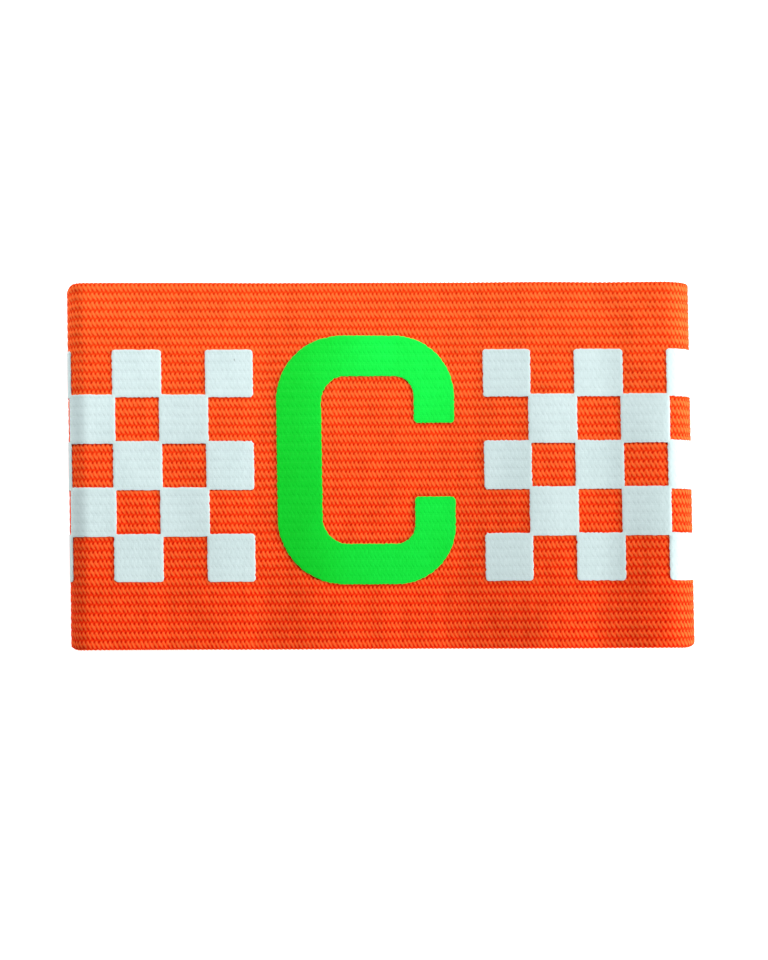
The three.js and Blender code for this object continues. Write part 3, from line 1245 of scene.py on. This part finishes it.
@dataclass
class LapStitches:
    """Two zigzag rows of stitches across the lap, seen inside the loop and on its underside."""

    face: LoopFace
    band: ElasticBand
    finish: SewingThread = field(default_factory=SewingThread)
    from_ends: float = 2.6  # from each end of the lap to the middle of a row
    swing: float = 1.3  # to either side of the row
    hole_noise: float = 0.05
    advance: float = 1.25  # from one needle hole to the next, across the tape
    margin: float = 1.0  # from the selvedges
    thread: float = 0.3
    flatness: float = 0.8  # a stitch's height against its width
    reach: float = 0.97  # share of the way from hole to hole
    dip: float = 0.9  # how far its ends go into their holes, in threads
    dip_power: int = 4  # the higher, the nearer to its ends it turns down and narrows
    least_end: float = 0.02  # square of the ends' share of the thread
    sides: int = 6
    rings: int = 6
    inside_proud: float = 0.04  # the stitches' middle off the lap, inwards
    underside_sunk: float = 0.125  # and off the crests of the ribs on the floor
    seed: int = 3

    def _one_stitch(self) -> tuple[Array, list[tuple[int, ...]]]:
        """Model one stitch by hand and take its mesh.

        Returns:
            Its vertices, with X from hole to hole as -1 to 1 and Y and Z in threads, and its faces.
        """
        deselect_all()
        bpy.ops.mesh.primitive_cylinder_add(vertices=self.sides, radius=0.5, depth=2.0)
        stitch = bpy.context.object

        def cut(place: float) -> None:
            """Cut all of the stitch across."""
            bpy.ops.mesh.select_all(action="SELECT")
            bpy.ops.mesh.bisect(plane_co=(place, 0.0, 0.0), plane_no=(1.0, 0.0, 0.0))

        edit(
            stitch,
            lambda: bpy.ops.transform.rotate(
                value=math.pi / 2, orient_axis="Y", center_override=(0.0, 0.0, 0.0)
            ),
            *(partial(cut, -math.cos(math.pi * i / self.rings)) for i in range(1, self.rings)),
        )
        mesh = stitch.data
        points = read_points(mesh.vertices, "co")
        ends = points[:, 0] ** self.dip_power
        points[:, 1:] *= np.sqrt(np.clip(1.0 - ends, self.least_end, 1.0))[:, None]
        points[:, 2] -= self.dip * ends
        faces = [tuple(p.vertices) for p in mesh.polygons]
        bpy.data.objects.remove(stitch)
        bpy.data.meshes.remove(mesh)
        return points, faces

    def _row_of_stitches(self, name: str, height: float, outwards: float) -> Object:
        """Copy the stitch along both rows on one face of the tape.

        Args:
            name: The piece's name.
            height: The height of the stitches' middle off the outer face.
            outwards: 1 where the stitches bow away from the outer face, -1 towards the inside.

        Returns:
            The mesh object.
        """
        rng = np.random.default_rng(self.seed)
        shape, faces = self._one_stitch()
        end = self.face.tape_width / 2 - self.margin
        holes = np.arange(-end, end, self.advance)
        lifted = height + outwards * shape[:, 2] * self.thread * self.flatness
        swings = self.swing * np.where(np.arange(len(holes)) % 2 == 0, 1.0, -1.0)
        rows = []
        for middle in (self.band.seam_start + self.from_ends, self.band.seam_end - self.from_ends):
            noise = rng.normal(scale=self.hole_noise, size=len(holes))
            spots = np.column_stack([middle + swings + noise, holes])
            way = np.diff(spots, axis=0)[:, None]
            flank = way[..., ::-1] * (-1, 1) / np.linalg.norm(way, axis=-1, keepdims=True)
            flat = (spots[1:] + spots[:-1])[:, None] / 2 + shape[:, :1] * way / 2 * self.reach
            flat = flat + shape[:, 1:2] * flank * self.thread
            rows.append(self.face.point(flat[..., 0], flat[..., 1], lifted))
        points = np.concatenate(rows).reshape(-1, 3)
        starts = range(0, len(points), len(shape))
        copies = [tuple(start + corner for corner in face) for start in starts for face in faces]
        mesh = bpy.data.meshes.new(name)
        mesh.from_pydata(points.tolist(), [], copies)
        piece = bpy.data.objects.new(name, mesh)
        bpy.context.collection.objects.link(piece)
        edit(piece, lambda: bpy.ops.mesh.normals_make_consistent(inside=False))
        bpy.ops.object.shade_smooth()
        return piece

    def build(self) -> list[Object]:
        """Make and dress the stitches of both faces.

        Returns:
            The stitches inside the loop, and those on its underside.
        """
        material = self.finish.make()
        inside = -self.face.wall - self.band.seam_rise - self.inside_proud
        pieces = [
            self._row_of_stitches("lap_stitches_inside", inside, -1.0),
            self._row_of_stitches("lap_stitches_underside", -self.underside_sunk, 1.0),
        ]
        return [finish_piece(piece, material, "orange_elastic") for piece in pieces]


class Light(NamedTuple):
    """A square area light that faces the armband: its place and size in metres, and its watts."""

    name: str
    place: Triple
    size: float
    power: float
    colour: str = "#ffffff"


@dataclass
class Studio:
    """A pale floor, broad soft lights and the photograph's camera."""

    lights: tuple[Light, ...] = (
        Light("side", (1.30, 0.15, 0.66), 0.5, 16.6),
        Light("low", (0.42, -0.32, 0.06), 0.12, 2.6),
        Light("far", (-0.06, 0.25, 0.21), 0.2, 0.86, "#fbfdff"),
        Light("left", (-0.17, 0.11, 0.03), 0.05, 0.024),
    )
    camera_place: Triple = (-26.0, -33.5, 550.0)
    camera_aim: Triple = (0.51, -2.86, 6.0)
    camera_roll: float = 0.004
    nearest: float = 10.0  # from the camera, what is drawn
    lens: float = 100.0
    sensor: float = 36.0
    floor_size: float = 3000.0
    floor_drop: float = 0.05  # below the armband, so that the two never share a face
    world_colour: str = "#f4f7fa"
    world_strength: float = 0.22

    def build(self) -> None:
        """Make the camera, the floor and the lights."""
        self._camera()
        self._floor()
        for light in self.lights:
            self._add_light(light)
        world = bpy.data.worlds.new("studio")
        bpy.context.scene.world = world
        world.use_nodes = True
        background = world.node_tree.nodes["Background"]
        background.inputs["Color"].default_value = linear(self.world_colour)
        background.inputs["Strength"].default_value = self.world_strength
        bpy.context.scene.view_settings.view_transform = "Standard"
        log.info("studio: camera, floor and lights")

    def _camera(self) -> None:
        """Make the camera, nearly straight above the front."""
        place, aim = Vector(self.camera_place) * MM, Vector(self.camera_aim) * MM
        data = bpy.data.cameras.new("camera")
        data.lens, data.sensor_width, data.clip_start = self.lens, self.sensor, self.nearest * MM
        camera = bpy.data.objects.new("camera", data)
        bpy.context.collection.objects.link(camera)
        forward = (aim - place).normalized()
        up = Vector((math.sin(self.camera_roll), math.cos(self.camera_roll), 0.0))
        right = forward.cross(up).normalized()
        turn = Matrix((right, right.cross(forward), -forward)).transposed().to_4x4()
        camera.matrix_world = Matrix.Translation(place) @ turn
        bpy.context.scene.camera = camera

    def _floor(self) -> None:
        """Make the floor."""
        deselect_all()
        bpy.ops.mesh.primitive_plane_add(
            size=self.floor_size * MM, location=(0.0, 0.0, -self.floor_drop * MM)
        )
        floor = bpy.context.object
        floor.name = "floor"
        floor.data.materials.append(OpalAcrylic().make())

    @staticmethod
    def _add_light(light: Light) -> None:
        """Add a light.

        Args:
            light: Its sizes.
        """
        data = bpy.data.lights.new(light.name, "AREA")
        data.size, data.energy, data.color = light.size, light.power, linear(light.colour)[:3]
        lamp = bpy.data.objects.new(light.name, data)
        bpy.context.collection.objects.link(lamp)
        lamp.location = light.place
        lamp.rotation_euler = (-Vector(light.place)).to_track_quat("-Z", "Y").to_euler()


def main() -> None:
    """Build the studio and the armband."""
    logging.basicConfig(level=logging.INFO, format="%(name)s %(message)s")
    Studio().build()
    face = LoopFace()
    weave = Weave(face)
    band = ElasticBand(face, weave)
    front, back = band.build()
    # Painted shade deepens the green to the left over these places, from the middle of the front
    green_run = tuple(float(weave.count(face.front_middle + place)) for place in (-17.0, 3.0))
    # The green film's near and left shares are painted shade
    green = PressedFilm(
        "green_transfer_film", "#09fb4e", "#05ee42", near_share=(0.60, 0.82, 0.56),
        left_share=(0.42, 0.81, 0.44), left_run=green_run,
    )
    letter = FilmLetter(face, weave, green)
    white = PressedFilm("white_transfer_film", "#d9ebea", "#cadddc")
    white_material = white.make()
    films = [letter.build()]
    for side, gap, seed in ((Side.LEFT, 4.6, 7), (Side.RIGHT, 5.9, 8)):
        panel = FilmPanel(
            face, weave, white, seed=seed, side=side, letter=letter, letter_gap=gap,
            material=white_material,
        )
        films.append(panel.build())
    stitches = LapStitches(face, band).build()


if __name__ == "__main__":
    main()
